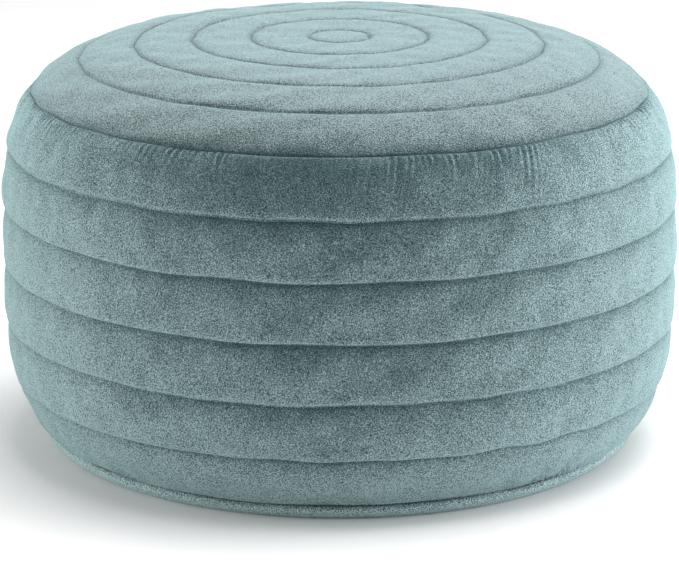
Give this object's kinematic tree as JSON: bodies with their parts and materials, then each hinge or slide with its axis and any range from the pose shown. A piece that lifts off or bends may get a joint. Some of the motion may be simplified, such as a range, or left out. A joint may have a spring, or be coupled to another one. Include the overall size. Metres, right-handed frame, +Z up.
{
  "type": "floor cushion",
  "caption": "Tall round floor cushion with a ring-quilted top, a channel-quilted side band and a zipped base.",
  "frame": {"origin": "on the floor under the middle of the cushion", "axes": "+Z up; the zip in the base runs along X, and its slider rests at the +X end, where the zip is closed"},
  "size_m": [0.61, 0.61, 0.3653],
  "materials": {
    "velvet": "short-pile velvet, dull teal, pale at grazing angles",
    "wadding": "white polyester wadding",
    "backing": "thin non-woven backing",
    "thread": "polyester thread in the velvet's colour",
    "liner": "pale non-woven inner bag",
    "fill": "loose white fibre and foam crumb",
    "zip_tape": "woven tape in the velvet's colour",
    "zip_coil": "nylon coil",
    "zip_metal": "plated zinc and steel"
  },
  "bodies": {
    "root": {"top_cover": "velvet", "side_cover": "velvet", "base_cover_front": "velvet", "base_cover_rear": "velvet", "top_wadding": "wadding", "side_wadding": "wadding", "top_backing": "backing", "side_backing": "backing", "ring_thread_1": "thread", "ring_thread_2": "thread", "ring_thread_3": "thread", "ring_thread_4": "thread", "ring_thread_5": "thread", "side_thread_1": "thread", "side_thread_2": "thread", "side_thread_3": "thread", "side_thread_4": "thread", "side_thread_5": "thread", "top_seam_thread": "thread", "base_seam_thread": "thread", "liner_top": "liner", "liner_side": "liner", "liner_base": "liner", "fill": "fill", "zip_tape_front": "zip_tape", "zip_tape_rear": "zip_tape", "zip_coil_front": "zip_coil", "zip_coil_rear": "zip_coil", "zip_top_stop": "zip_metal", "zip_bottom_stop": "zip_metal"},
    "slider": {"zip_slider": "zip_metal"},
    "pull": {"zip_pull": "zip_metal"}
  },
  "joints": [
    {"name": "zip_slide", "type": "slide", "parent": "root", "child": "slider", "axis": [-1, 0, 0], "range_m": [0, 0.3585]},
    {"name": "pull_hinge", "type": "hinge", "parent": "slider", "child": "pull", "pos_m": [0.18027, 0, 0.0052], "axis": [0, -1, 0], "range_deg": [0, 180]}
  ]
}
